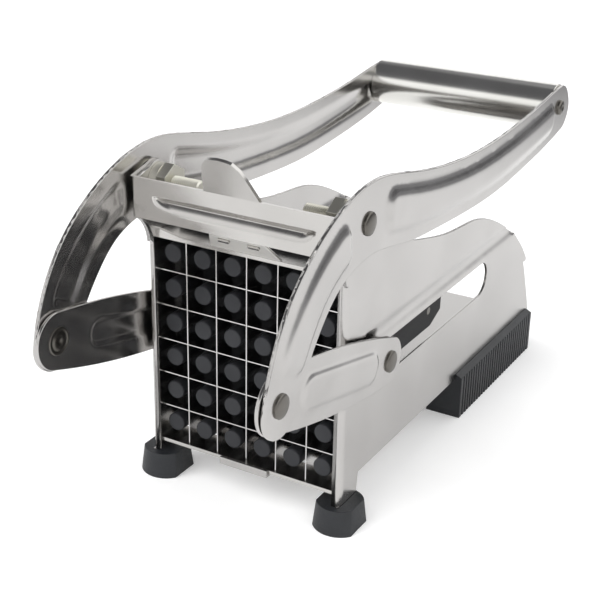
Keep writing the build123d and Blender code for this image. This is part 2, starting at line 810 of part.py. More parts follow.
with BuildPart() as right_link:
    with BuildSketch(along_link(link_inner)):
        with BuildLine():
            front_top = (0, link_front_radius)
            front_bottom = (0, -link_front_radius)
            rear_top = (link_length, link_rear_radius)
            rear_bottom = (link_length, -link_rear_radius)
            ThreePointArc(front_top, (link_length / 2, link_half_width), rear_top)
            Line(rear_top, rear_bottom)
            ThreePointArc(rear_bottom, (link_length / 2, -link_half_width), front_bottom)
            Line(front_bottom, front_top)
        make_face()
        Circle(link_front_radius)
        with Locations((link_length, 0)):
            Circle(link_rear_radius)
            Circle(rivet_shank_radius + running_clearance, mode=Mode.SUBTRACT)
        Circle(rivet_shank_radius + running_clearance, mode=Mode.SUBTRACT)
    extrude(amount=link_sheet)
    for start, shrink, mode in ((link_outer, 0, Mode.ADD), (link_inner, link_sheet, Mode.SUBTRACT)):
        with BuildSketch(along_link(start)):
            with Locations((rib_middle, 0)):
                SlotOverall(link_rib_length - 2 * shrink, 2 * link_rib_half_width - 2 * shrink)
        extrude(amount=link_rib_height, taper=link_rib_slope, mode=mode)
save_pair(right_link, "link")

# The lower rivet is fixed in the arm and turns in the link; the link's rear rivet is fixed in the link.
swage_outer = link_inner - swage_clearance
swage_inner = swage_outer - swage_height

with BuildPart() as right_lower_rivet:
    for start, end, radius in (
        (swage_inner, swage_outer, swage_radius),
        (swage_outer, arm_outer, rivet_shank_radius),
        (arm_outer, arm_outer + head_height, rivet_head_radius),
    ):
        with BuildSketch(side(start)):
            with Locations(lower_pin):
                Circle(radius)
        extrude(amount=end - start)
    fillet(right_lower_rivet.edges().group_by(Axis.X)[-1], head_round)
save_pair(right_lower_rivet, "lower_rivet")

with BuildPart() as right_link_rivet:
    for start, end, radius in (
        (link_inner - link_rivet_stub, link_outer, rivet_shank_radius),
        (link_outer, link_outer + head_height, rivet_head_radius),
    ):
        with BuildSketch(side(start)):
            with Locations(slide_pin):
                Circle(radius)
        extrude(amount=end - start)
    fillet(right_link_rivet.edges().group_by(Axis.X)[-1], head_round)
save_pair(right_link_rivet, "link_rivet")

# ---------------------------------------------------------------- pusher
# A block with one peg for each cell of the grid, a steel plate behind it and a guide rail a side.
with BuildPart() as pusher_block:
    with BuildSketch(front(peg_setback)):
        with GridLocations(cell_width, cell_height, columns, rows):
            Circle(peg_radius)
    extrude(amount=peg_setback - plate_front)
    fillet(pusher_block.edges().group_by(Axis.Y)[0], peg_round)
    with BuildSketch(front(plate_front)):
        with Locations((0, (pusher_top + pusher_bottom) / 2)):
            Rectangle(2 * pusher_half_width, pusher_top - pusher_bottom)
    extrude(amount=plate_front - plate_rear)
    with BuildSketch(front(plate_rear)):
        with GridLocations(2 * screw_spread_x, 2 * screw_spread_z, 2, 2):
            Circle(screw_radius + running_clearance)
    extrude(amount=screw_grip, mode=Mode.SUBTRACT)
save(pusher_block, "pusher_block")

with BuildPart() as pusher_backplate:
    with BuildSketch(front(plate_rear)):
        with Locations((0, (pusher_top + pusher_bottom) / 2)):
            Rectangle(2 * pusher_half_width, pusher_top - pusher_bottom)
        with GridLocations(2 * screw_spread_x, 2 * screw_spread_z, 2, 2):
            Circle(screw_radius + running_clearance, mode=Mode.SUBTRACT)
    extrude(amount=plate_rear - backplate_rear)
save(pusher_backplate, "pusher_backplate")

with BuildPart() as backplate_screws:
    for start, end, radius in (
        (plate_rear - screw_grip, backplate_rear, screw_radius),
        (backplate_rear, backplate_rear + screw_head_height, screw_head_radius),
    ):
        with BuildSketch(front(start)):
            with GridLocations(2 * screw_spread_x, 2 * screw_spread_z, 2, 2):
                Circle(radius)
        extrude(amount=start - end)
    fillet(backplate_screws.edges().group_by(Axis.Y)[-1], screw_head_height / 3)
save(backplate_screws, "backplate_screws")

screw_seat = guide_outer - screw_head_height

with BuildPart() as right_guide_rail:
    with BuildSketch(side(guide_inner)):
        with BuildLine():
            Polyline(
                (backplate_rear, guide_bottom),
                (guide_rear - guide_chamfer_length, guide_bottom),
                (guide_rear, guide_bottom + guide_chamfer_height),
                (guide_rear, guide_top),
                (backplate_rear, guide_top),
                close=True,
            )
        make_face()
    extrude(amount=guide_thickness)
    for start, end, radius in (
        (guide_inner, screw_seat, guide_screw_radius + running_clearance),
        (screw_seat, guide_outer, guide_screw_head_radius + running_clearance),
    ):
        with BuildSketch(side(start)):
            with Locations(guide_screw_place):
                Circle(radius)
        extrude(amount=end - start, mode=Mode.SUBTRACT)
save_pair(right_guide_rail, "guide_rail")

with BuildPart() as right_guide_screw:
    for start, end, radius in (
        (guide_inner, screw_seat, guide_screw_radius),
        (screw_seat, guide_outer, guide_screw_head_radius),
    ):
        with BuildSketch(side(start)):
            with Locations(guide_screw_place):
                Circle(radius)
        extrude(amount=end - start)
save_pair(right_guide_screw, "guide_screw")

# The bush runs in the wall's slot, under the link's rear pin.
with BuildPart() as right_slot_bush:
    with BuildSketch(side(guide_outer)):
        with Locations(slide_pin):
            Circle(bush_radius)
    extrude(amount=wall_outer + bush_reach - guide_outer)
save_pair(right_slot_bush, "slot_bush")
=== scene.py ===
"""Looks of the chip cutter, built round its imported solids.

Metres. +Z is up, +Y points from the blades to the handle, and the table is at Z = 0.
"""

import json
import math

import bmesh
import bpy
import numpy
from mathutils import Matrix, Vector
from mathutils.bvhtree import BVHTree
from mathutils.geometry import delaunay_2d_cdt
from mathutils.kdtree import KDTree

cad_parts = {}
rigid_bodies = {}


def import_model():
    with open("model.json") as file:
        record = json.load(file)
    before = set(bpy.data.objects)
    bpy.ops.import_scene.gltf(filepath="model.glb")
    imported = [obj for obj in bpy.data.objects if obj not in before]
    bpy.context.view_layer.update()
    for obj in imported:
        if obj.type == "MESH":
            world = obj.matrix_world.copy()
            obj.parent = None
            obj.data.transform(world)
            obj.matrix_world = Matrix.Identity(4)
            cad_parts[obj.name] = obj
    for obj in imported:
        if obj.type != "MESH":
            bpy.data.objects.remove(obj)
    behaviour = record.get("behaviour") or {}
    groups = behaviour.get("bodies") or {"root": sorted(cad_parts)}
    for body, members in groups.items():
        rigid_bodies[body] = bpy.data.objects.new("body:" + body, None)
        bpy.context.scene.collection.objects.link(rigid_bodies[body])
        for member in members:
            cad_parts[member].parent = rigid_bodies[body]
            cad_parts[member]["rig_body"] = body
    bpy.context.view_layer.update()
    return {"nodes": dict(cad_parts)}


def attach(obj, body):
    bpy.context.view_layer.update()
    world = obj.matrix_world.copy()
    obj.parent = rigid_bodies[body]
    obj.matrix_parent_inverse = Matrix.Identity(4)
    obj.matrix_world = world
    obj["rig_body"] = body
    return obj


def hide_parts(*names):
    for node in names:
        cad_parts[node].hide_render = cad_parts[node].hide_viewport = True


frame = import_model()
scene = bpy.context.scene

# ---------------------------------------------------------------- camera
# A long lens, a little above the cutter and to the right of its front, as for a catalogue picture.
# It leans a degree or so, and its shift is only what the framing needs.
camera_place = Vector((0.214669, -0.408819, 0.25334))
camera_right = Vector((0.86573, 0.50011, 0.02004))
camera_up = Vector((-0.21391, 0.33349, 0.91817))
camera_back = Vector((0.45250, -0.79917, 0.39569))
camera_turn = Matrix((camera_right, camera_up, camera_back)).transposed().to_4x4()

camera_data = bpy.data.cameras.new("catalogue_camera")
camera_data.lens = 75.34
camera_data.sensor_width = 36.0
camera_data.shift_x = -0.0034
camera_data.shift_y = 0.0006
camera_data.clip_start = 0.01
camera_data.clip_end = 50.0
camera = bpy.data.objects.new("catalogue_camera", camera_data)
camera.matrix_world = Matrix.Translation(camera_place) @ camera_turn
scene.collection.objects.link(camera)
scene.camera = camera
scene.view_settings.view_transform = "Standard"


# ---------------------------------------------------------------- table, room and lamp
# A white sweep in a small studio: a pale wall in front, a bright screen to the rear right that draws
# the highlights along the ribs, and a dim ceiling and rear left that draw the dark lines beside them.
def colour(hex_code):
    """An sRGB hex colour as the linear colour that a node takes."""
    linear = []
    for start in (0, 2, 4):
        share = int(hex_code[start : start + 2], 16) / 255
        linear.append(share / 12.92 if share <= 0.04045 else ((share + 0.055) / 1.055) ** 2.4)
    return (*linear, 1.0)


def put(tree, kind, settings=None, values=None, links=None, stops=()):
    """Adds a node, with its settings, its inputs' values and links, and the stops of a ramp."""
    node = tree.nodes.new(kind)
    for name, setting in (settings or {}).items():
        setattr(node, name, setting)
    for name, value in (values or {}).items():
        node.inputs[name].default_value = value
    for name, source in (links or {}).items():
        tree.links.new(source, node.inputs[name])
    for number, (place, hex_code) in enumerate(stops):
        if number > 1:
            node.color_ramp.elements.new(place)
        node.color_ramp.elements[number].position = place
        node.color_ramp.elements[number].color = colour(hex_code)
    return node


def bare(owner):
    """The node tree of a new material or world, emptied."""
    owner.use_nodes = True
    owner.node_tree.nodes.clear()
    return owner.node_tree


# The room's tones run from the horizon, at 0 on each ramp, to straight above, at 1.
rear_left = (-0.894, 0.447, 0.0)
rear_right = (0.75, 0.66, 0.0)
room = bpy.data.worlds.new("small_studio")
tree = bare(room)
towards = put(tree, "ShaderNodeTexCoord").outputs["Generated"]
heading = put(tree, "ShaderNodeSeparateXYZ", links={"Vector": towards})
height = heading.outputs["Z"]
pale_wall = put(
    tree,
    "ShaderNodeValToRGB",
    links={"Fac": height},
    stops=[(0.0, "D8D8D8"), (0.44, "EAEAEA"), (0.57, "545456"), (0.8, "4C4C4E"), (1.0, "4C4C4E")],
)
bright_screen = put(
    tree,
    "ShaderNodeValToRGB",
    links={"Fac": height},
    stops=[
        (0.0, "4A4A4C"), (0.10, "505052"), (0.20, "FFFFFF"),
        (0.84, "FFFFFF"), (0.94, "6A6A6C"), (1.0, "6A6A6C"),
    ],
)
dim_corner = put(
    tree,
    "ShaderNodeValToRGB",
    links={"Fac": height},
    stops=[(0.0, "C8C8C8"), (0.26, "F0F0F0"), (0.42, "F0F0F0"), (0.54, "6C6C6E"), (1.0, "808082")],
)
leftness = put(
    tree, "ShaderNodeVectorMath", {"operation": "DOT_PRODUCT"}, {1: rear_left}, {0: towards}
)
to_corner = put(
    tree,
    "ShaderNodeMapRange",
    {"interpolation_type": "SMOOTHSTEP"},
    {"From Min": 0.25, "From Max": 0.5},
    {"Value": leftness.outputs["Value"]},
)
rightness = put(
    tree, "ShaderNodeVectorMath", {"operation": "DOT_PRODUCT"}, {1: rear_right}, {0: towards}
)
to_rear = put(
    tree,
    "ShaderNodeMapRange",
    {"interpolation_type": "SMOOTHSTEP"},
    {"From Min": -0.1, "From Max": 0.15},
    {"Value": rightness.outputs["Value"]},
)
rear = put(
    tree,
    "ShaderNodeMix",
    {"data_type": "RGBA"},
    links={
        0: to_corner.outputs["Result"],
        6: bright_screen.outputs["Color"],
        7: dim_corner.outputs["Color"],
    },
)
walls = put(
    tree,
    "ShaderNodeMix",
    {"data_type": "RGBA"},
    links={0: to_rear.outputs["Result"], 6: pale_wall.outputs["Color"], 7: rear.outputs[2]},
)
glow = put(tree, "ShaderNodeBackground", values={"Strength": 1.45}, links={"Color": walls.outputs[2]})
put(tree, "ShaderNodeOutputWorld", links={"Surface": glow.outputs["Background"]})
scene.world = room

lamp_from = Vector((-0.35, -0.62, 0.85))
lamp_data = bpy.data.lights.new("soft_lamp", "SUN")
lamp_data.energy = 2.2
lamp_data.angle = math.radians(50)
lamp = bpy.data.objects.new("soft_lamp", lamp_data)
lamp.rotation_euler = lamp_from.to_track_quat("Z", "Y").to_euler()
lamp.visible_glossy = False  # as a large diffuser, it leaves no hot spot of its own in the steel
scene.collection.objects.link(lamp)

# Matte paper gives the eye no shine, only a faint cloudiness. The camera sees it white all over, but
# the floor that the steel mirrors darkens from 0.36 to 0.66 m out to the rear right.
sweep_right = (0.6, 0.8, 0.0)
camera_lift, mirror_lift = 0.22, 0.06  # light of its own, so that it stays white far from the lamp
sweep_paper = bpy.data.materials.new("matte_white_paper")
tree = bare(sweep_paper)
place = put(tree, "ShaderNodeTexCoord").outputs["Object"]
clouds = put(tree, "ShaderNodeTexNoise", values={"Scale": 900.0, "Detail": 3.0})
tint = put(
    tree,
    "ShaderNodeValToRGB",
    links={"Fac": clouds.outputs["Fac"]},
    stops=[(0.3, "F4F4F4"), (0.7, "F8F8F8")],
)
away = put(tree, "ShaderNodeVectorMath", {"operation": "DOT_PRODUCT"}, {1: sweep_right}, {0: place})
floor_tone = put(
    tree,
    "ShaderNodeValToRGB",
    links={"Fac": away.outputs["Value"]},
    stops=[(0.36, "F6F6F6"), (0.66, "7C7C7E")],
)
ray = put(tree, "ShaderNodeLightPath")
either = put(
    tree,
    "ShaderNodeMix",
    {"data_type": "RGBA"},
    links={0: ray.outputs["Is Camera Ray"], 6: floor_tone.outputs["Color"], 7: tint.outputs["Color"]},
)
paper = put(tree, "ShaderNodeBsdfDiffuse", links={"Color": either.outputs[2]})
mirrored_share = put(
    tree,
    "ShaderNodeMath",
    {"operation": "MULTIPLY"},
    {1: mirror_lift},
    {0: ray.outputs["Is Glossy Ray"]},
)
lift_share = put(
    tree,
    "ShaderNodeMath",
    {"operation": "MULTIPLY_ADD"},
    {1: camera_lift},
    {0: ray.outputs["Is Camera Ray"], 2: mirrored_share.outputs[0]},
)
lift = put(
    tree,
    "ShaderNodeEmission",
    values={"Color": colour("FFFFFF")},
    links={"Strength": lift_share.outputs[0]},
)
lit = put(tree, "ShaderNodeAddShader", links={0: paper.outputs[0], 1: lift.outputs[0]})
put(tree, "ShaderNodeOutputMaterial", links={"Surface": lit.outputs[0]})

reach = 6.0
sweep_mesh = bpy.data.meshes.new("sweep")
sweep_mesh.from_pydata(
    [(-reach, -reach, 0), (reach, -reach, 0), (reach, reach, 0), (-reach, reach, 0)], [], [(0, 1, 2, 3)]
)
sweep_mesh.materials.append(sweep_paper)
sweep = bpy.data.objects.new("sweep", sweep_mesh)
scene.collection.objects.link(sweep)


# ---------------------------------------------------------------- side walls
# Two stainless sheets, cut to outline and pressed: a long groove stiffens each, and a lip turned in
# along the front edge holds the blade cartridge. They stand on the front feet and the rear pads.
def rolled_steel(name, rolled, light="C3C1BF", shade="BAB8B6", smooth=0.17, rough=0.25, grain=0.0006):
    """Rolled steel: a soft mirror, hair lines the way it was rolled, and a tone that drifts slowly.

    rolled draws the lines out the way it was rolled, light and shade end its tone, and smooth and rough
    its roughness. grain is the lines' spacing in metres: real ones are finer, and wouldn't show.
    """
    material = bpy.data.materials.new(name)
    tree = bare(material)
    place = put(tree, "ShaderNodeTexCoord").outputs["Object"]
    drawn_out = put(tree, "ShaderNodeMapping", values={"Scale": rolled}, links={"Vector": place})
    hair_lines = put(
        tree,
        "ShaderNodeTexNoise",
        values={"Scale": 1 / grain, "Detail": 4.0, "Roughness": 0.6},
        links={"Vector": drawn_out.outputs["Vector"]},
    )
    drift = put(  # clouds some 33 mm across, as wide as the rolls leave them
        tree,
        "ShaderNodeTexNoise",
        values={"Scale": 30.0, "Detail": 3.0, "Distortion": 0.5},
        links={"Vector": place},
    )
    tone = put(
        tree,
        "ShaderNodeValToRGB",
        links={"Fac": drift.outputs["Fac"]},
        stops=[(0.34, shade), (0.62, light)],
    )
    polish = put(
        tree,
        "ShaderNodeMapRange",
        values={"From Min": 0.3, "From Max": 0.7, "To Min": smooth, "To Max": rough},
        links={"Value": drift.outputs["Fac"]},
    )
    lined = put(  # the lines are a touch duller than what lies between them
        tree,
        "ShaderNodeMath",
        {"operation": "MULTIPLY_ADD"},
        {1: 0.03},
        {0: hair_lines.outputs["Fac"], 2: polish.outputs["Result"]},
    )
    relief = put(
        tree,
        "ShaderNodeBump",
        values={"Strength": 0.015, "Distance": 0.0001},
        links={"Height": hair_lines.outputs["Fac"]},
    )
    steel = put(
        tree,
        "ShaderNodeBsdfPrincipled",
        values={"Metallic": 1.0},
        links={
            "Base Color": tone.outputs["Color"],
            "Roughness": lined.outputs[0],
            "Normal": relief.outputs["Normal"],
        },
    )
    put(tree, "ShaderNodeOutputMaterial", links={"Surface": steel.outputs["BSDF"]})
    return material


def seat(piece, node, finish):
    """Gives a finished piece its material, and lets it stand for a solid and ride where that rides."""
    piece.data.materials.clear()
    piece.data.materials.append(finish)
    scene.collection.objects.link(piece)
    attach(piece, frame["nodes"][node]["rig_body"])
    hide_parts(node)
    return piece


def merged(node):
    """A copy of a solid's mesh, its loose triangles joined into whole faces."""
    touching, level = 2e-6, math.radians(0.05)
    shape = bmesh.new()
    shape.from_mesh(frame["nodes"][node].data)
    bmesh.ops.remove_doubles(shape, verts=shape.verts, dist=touching)
    bmesh.ops.dissolve_limit(
        shape, angle_limit=level, use_dissolve_boundaries=False, verts=shape.verts, edges=shape.edges
    )
    return shape


def inside(points, loops):
    """Which of some flat points lie inside some closed outlines."""
    held = numpy.zeros(len(points), bool)
    for (y0, z0), (y1, z1) in loops:
        if z0 != z1:
            between = (points[:, 1] > min(z0, z1)) & (points[:, 1] <= max(z0, z1))
            held ^= between & (points[:, 0] < y0 + (points[:, 1] - z0) * (y1 - y0) / (z1 - z0))
    return held


def nearby(points):
    """A tree that finds how far off the nearest of some flat points is."""
    tree = KDTree(len(points))
    for number, (y, z) in enumerate(points):
        tree.insert((y, z, 0), number)
    tree.balance()
    return tree


def skin(shape, side, rims, bent):
    """The faces of a sheet that one side shows, as far as its eased rims.

    A bent sheet's are chosen by the way they face, because a lip joins its two sides.
    """
    sideways, level, large = 0.3, 0.9, 4e-6  # shares of a face's normal, and square metres
    shown = {face for face in shape.faces if face not in rims and face.normal.x * side > sideways}
    if bent:
        return shown
    spreading = [face for face in shown if face.normal.x * side > level and face.calc_area() > large]
    shown = set(spreading)
    while spreading:  # over slivers that face any way
        for line in spreading.pop().edges:
            more = [face for face in line.link_faces if face not in shown and face not in rims]
            shown.update(more)
            spreading += more
    return shown


def filling(loops, near_rib, soft, fine):
    """Flat points that fill some outlines: closely on the ribs, and sparsely on the flats."""
    coarse, rib_width, clear = 0.0035, 3.2 * soft, 0.6 * fine
    near_border = nearby([
        (y0 + (y1 - y0) * share, z0 + (z1 - z0) * share)
        for (y0, z0), (y1, z1) in loops
        for share in (0.125, 0.375, 0.625, 0.875)
    ])
    ends = numpy.array(loops).reshape(-1, 2)
    low, high = ends.min(axis=0), ends.max(axis=0)
    across, up = numpy.arange(low[0], high[0], fine), numpy.arange(low[1], high[1], fine)
    every = round(coarse / fine)
    grid = numpy.array([(y, z) for y in across for z in up])
    sparse = numpy.array([
        i % every == j % every == 0 for i in range(len(across)) for j in range(len(up))
    ])
    held = inside(grid, loops)
    return [
        (y, z)
        for (y, z), on in zip(grid[held], sparse[held])
        if on or near_rib.find((y, z, 0))[2] < rib_width
        if near_border.find((y, z, 0))[2] > clear
    ]


def pressed(node, finish, soft, fine=0.0007, cut=0.0003, lip_until=None):
    """A sheet pressed sideways: its cut edges are eased, and its ribs run softly into its flats.

    soft is the press's shoulder, fine the mesh on the ribs and cut the easing of the edges. Where a lip
    is bent along the front, all edges in front of lip_until stay sharp.
    """
    cut_turn, rib_turn = 62, 28  # degrees
    beyond_cut, along_rib, same_sheet = 0.0003, 0.0008, 0.004
    half_way_up = 0.0525
    shape = merged(node)
    sheet = BVHTree.FromBMesh(shape)

    def surface(side, y, z):
        """Where the sheet lies at a place, seen from one side, and the way it faces there."""
        for aside in (0, 2e-5, -2e-5):  # a ray along an edge may slip through
            start = Vector((side, y + aside, z + aside / 2))
            hit, facing = sheet.ray_cast(start, Vector((-side, 0, 0)))[:2]
            if hit is not None:
                return (hit.x, *facing)
        return None

    def softened(side, y, z, here):
        """The same, as the mean over the press's shoulder."""
        seen = [here]
        for ring, count in ((0.4, 6), (0.75, 10), (1.0, 14)):
            for step in range(count):
                turn = math.tau * (step + ring) / count
                aside, above = ring * soft * math.cos(turn), ring * soft * math.sin(turn)
                seen.append(surface(side, y + aside, z + above))
        near = [one for one in seen if one is not None and abs(one[0] - here[0]) < same_sheet]
        return numpy.mean(near, axis=0)

    shoulders, rims = [], []
    for line in shape.edges:
        turn = math.degrees(line.calc_face_angle(0.0))
        start, end = (corner.co for corner in line.verts)
        if turn >= cut_turn:
            cut_face = min(line.link_faces, key=lambda face: abs(face.normal.x))
            beyond = (start + end) / 2 + cut_face.normal * beyond_cut
            on_lip = lip_until is not None and min(start.y, end.y) <= lip_until
            if not on_lip and surface(1, beyond.y, beyond.z) is None:
                rims.append(line)
        elif turn > rib_turn and all(abs(face.normal.x) > 0.3 for face in line.link_faces):
            parts = max(1, math.ceil((end - start).length / along_rib))
            shoulders += [start.lerp(end, part / parts).yz for part in range(parts + 1)]
    near_rib = nearby(shoulders)
    rims = set(bmesh.ops.bevel(
        shape, geom=rims, offset=cut, segments=2, profile=0.5, affect="EDGES", clamp_overlap=False
    )["faces"])

    facings = {}
    for side in (1, -1):
        shape.faces.index_update()
        shown = skin(shape, side, rims, bent=lip_until is not None)
        border = [
            line
            for face in sorted(shown, key=lambda face: face.index)
            for line in face.edges
            if sum(one in shown for one in line.link_faces) == 1
        ]
        corners = list(dict.fromkeys(corner for line in border for corner in line.verts))
        number_of = {corner: number for number, corner in enumerate(corners)}
        flat = [(corner.co.y, corner.co.z) for corner in corners]
        joins = [(number_of[line.verts[0]], number_of[line.verts[1]]) for line in border]
        loops = [(flat[first], flat[last]) for first, last in joins]
        points = [Vector(point) for point in flat + filling(loops, near_rib, soft, fine)]
        found, _, triangles, sources, *_ = delaunay_2d_cdt(points, joins, [], 0, 1e-7, True)
        middles = [sum((found[corner] for corner in one), Vector((0, 0))) / 3 for one in triangles]
        held = inside(numpy.array(middles), loops)
        triangles = [one for one, within in zip(triangles, held) if within]

        # Where the lip's end lies over the flat's border, two corners meet in one place: the lip's is
        # taken in the wall's upper half and the flat's in the lower
        old = []
        for source in sources:
            meeting = [corners[number] for number in source if number < len(corners)]
            pick = min if meeting and meeting[0].co.z > half_way_up else max
            old.append(pick(meeting, key=lambda corner: abs(corner.co.x), default=None))

        # How deep each point lies and the way it faces, softened on the ribs and then evened out there
        lies, ribbed, here = [], [], None
        for point, corner in zip(found, old):
            if corner is not None:
                here = (corner.co.x, 0, 0, 0)
                facing = Vector()
                for one in corner.link_faces:
                    if one in shown:
                        facing += one.normal * one.calc_area()
                lies.append((corner.co.x, *facing.normalized()))
                ribbed.append(False)
                continue
            here = surface(side, point.x, point.y) or here
            ribbed.append(near_rib.find((point.x, point.y, 0))[2] < 2 * soft)
            if ribbed[-1]:
                here = softened(side, point.x, point.y, here)
            lies.append(here)
        lies, ribbed = numpy.array(lies), numpy.array(ribbed)
        pairs = numpy.array([(one[i], one[j]) for one in triangles for i, j in ((0, 1), (1, 2), (2, 0))])
        pairs = numpy.concatenate([pairs, pairs[:, ::-1]])
        for _ in range(4):
            total, count = numpy.zeros_like(lies), numpy.zeros(len(lies))
            numpy.add.at(total, pairs[:, 0], lies[pairs[:, 1]])
            numpy.add.at(count, pairs[:, 0], 1)
            held = ribbed & (count > 0)
            lies[held] = (lies[held] + total[held] / count[held, None]) / 2

        placed = []
        for point, corner, (depth, *facing) in zip(found, old, lies):
            placed.append(shape.verts.new((depth, point.x, point.y)) if corner is None else corner)
            facings[placed[-1]] = Vector(facing).normalized()
        bmesh.ops.delete(shape, geom=list(shown), context="FACES_KEEP_BOUNDARY")
        for one in triangles:
            ring = [placed[corner] for corner in (one if side > 0 else reversed(one))]
            if shape.faces.get(ring) is None:
                shape.faces.new(ring)
    for face in shape.faces:
        face.smooth = True
    shape.normal_update()
    normals = [facings.get(corner, corner.normal).copy() for corner in shape.verts]
    mesh = bpy.data.meshes.new(f"{node}_pressed")
    shape.to_mesh(mesh)
    shape.free()
    mesh.normals_split_custom_set_from_vertices(normals)
    return seat(bpy.data.objects.new(f"{node}_pressed", mesh), node, finish)


# Bright-rolled stainless gives the eye a soft grey mirror, with faint streaks from front to rear.
wall_steel = rolled_steel("bright_rolled_stainless_wall", (1.0, 0.04, 1.0))
for hand in ("left", "right"):
    wall = f"{hand}_side_wall"
    pressed(wall, wall_steel, soft=0.0017, fine=0.0008, cut=0.00022, lip_until=-0.07)


# ---------------------------------------------------------------- floor tray
# The potato lies on this stainless sheet, spot-welded between the walls. Its tongue steps down and
# runs under the cartridge to a small upturned lip.
def eased(node, finish, edge=0.0002, sharp=28.0, steps=2, shape=None):
    """A copy of a solid, with its edges eased by the press or the mould.

    edge is how wide they are eased, in so many steps, wherever the faces turn by sharp degrees or more.
    """
    shape = shape or merged(node)
    weights = shape.edges.layers.float.new("bevel_weight_edge")
    for line in shape.edges:
        turn = math.degrees(line.calc_face_angle(0.0))
        line.smooth = turn < sharp
        line[weights] = float(turn >= sharp)
    for face in shape.faces:
        face.smooth = True
    mesh = bpy.data.meshes.new(f"{node}_eased")
    shape.to_mesh(mesh)
    shape.free()
    piece = seat(bpy.data.objects.new(f"{node}_eased", mesh), node, finish)
    bevel = piece.modifiers.new("eased edges", "BEVEL")
    bevel.limit_method = "WEIGHT"
    bevel.width = edge
    bevel.segments = steps
    bevel.harden_normals = True
    bevel.use_clamp_overlap = True
    return piece


eased("floor_tray", wall_steel)


# ---------------------------------------------------------------- front brace
# A stainless cross sheet that clasps both walls. Below a sharp edge its middle is pressed back, and a
# thumb rest leans out from its top. It is spot-welded to the walls.
def dished(shape, half_width, top, front, deep, high):
    """Presses a dish into an upright sheet: rolled over above, running out below, round at its ends.

    All sizes are in mm. front is where the sheet's face stands, and the dish is open from top down to
    top - high, half_width to each side, and deep back from the face.
    """
    hollow = []
    for face in shape.faces:
        x, y, z = face.calc_center_median() * 1000
        on_dish = abs(x) < half_width + 0.1 and front + 0.01 < y < front + deep + 0.2
        inward = face.normal.x * x < 0 and abs(face.normal.x) > 0.5
        if on_dish and top - high - 0.2 < z < top + 0.1:
            if face.normal.y < -0.3 or face.normal.z < -0.5 or inward:
                hollow.append(face)
    bmesh.ops.delete(shape, geom=hollow, context="FACES")

    # The rolled edge, as (down, back) pairs, and the hollow that runs out below it in a parabola
    roll = 1.4
    outline = [(0.0, 0.0), (0.2, 0.05), (0.38, 0.3), (0.44, 0.9), (0.48, 1.7), (0.55, 2.4), (0.9, 2.66)]
    outline += [(roll, deep)]
    for _ in range(3):  # each pass cuts the corners off
        rounder = [outline[0]]
        for (down0, back0), (down1, back1) in zip(outline, outline[1:]):
            rounder += [
                (0.75 * down0 + 0.25 * down1, 0.75 * back0 + 0.25 * back1),
                (0.25 * down0 + 0.75 * down1, 0.25 * back0 + 0.75 * back1),
            ]
        outline = rounder + [outline[-1]]
    run, first_slope, rows = high - roll, 1.05, 30
    for row in range(1, rows + 1):
        down = run * row / rows
        rise = first_slope * down - (2 * first_slope - 2 * deep / run) * down**2 / (2 * run)
        outline.append((roll + down, deep - rise))

    columns, strips, end_round, end_slant = [], 160, 2.0, 1.4
    for step in range(strips + 1):
        x = half_width * math.sin(math.pi * (step / strips - 0.5))  # closer together towards the ends
        column = []
        for down, back in outline:
            share = min(1.0, (half_width - abs(x)) / (end_round + end_slant * down))
            share = share * share * (3 - 2 * share)
            place = (x / 1000, (front + share * max(0.0, back)) / 1000, (top - down) / 1000)
            column.append(shape.verts.new(place))
        columns.append(column)
    for before, after in zip(columns, columns[1:]):
        for row in range(len(outline) - 1):
            shape.faces.new((before[row + 1], after[row + 1], after[row], before[row]))
    shape.normal_update()
    return shape


# The same sheet rolled across the cutter: the eye gets a lighter mirror, streaked from side to side.
brace_steel = rolled_steel("bright_rolled_stainless_brace", (0.04, 1.0, 1.0), "CBC9C6", "C2C0BD")
brace = dished(merged("front_brace"), half_width=32.5, top=115.1, front=-78.55, deep=2.7, high=6.1)
eased("front_brace", brace_steel, edge=0.0004, steps=3, shape=brace)

# ---------------------------------------------------------------- blade cartridge
# A thin stainless frame that slides out with its blades, and the sheet tab that pulls it. The tab
# hooks on two tangs bent out of the frame's top.
eased("blade_frame", brace_steel, edge=0.00015)
# Blasted stainless gives the eye an even sheen with hardly a mirror in it. Its near-white tone is partly
# painted light, so that the tab reads bright although it lies in the brace's shade.
tab_steel_painted_light = rolled_steel("blasted_stainless_tab_painted_light", (1.0, 1.0, 1.0), "F2F0EC", "EAE8E4", 0.42, 0.52)
eased("pull_tab", tab_steel_painted_light, edge=0.0003)

# ---------------------------------------------------------------- blades
# Hard stainless strips that cross half-lapped, five up and five across, honed along their front
# edges and pegged in the cartridge's frame.
# Honed strip gives the eye a clearer mirror with fine upright lines, so each edge glints.
strip_steel = rolled_steel("honed_stainless_strip", (1.0, 1.0, 0.05), "DAD9D8", "D2D0CF", 0.15, 0.2)
for node in ("vertical_blades", "horizontal_blades"):
    eased(node, strip_steel, edge=0.00012)


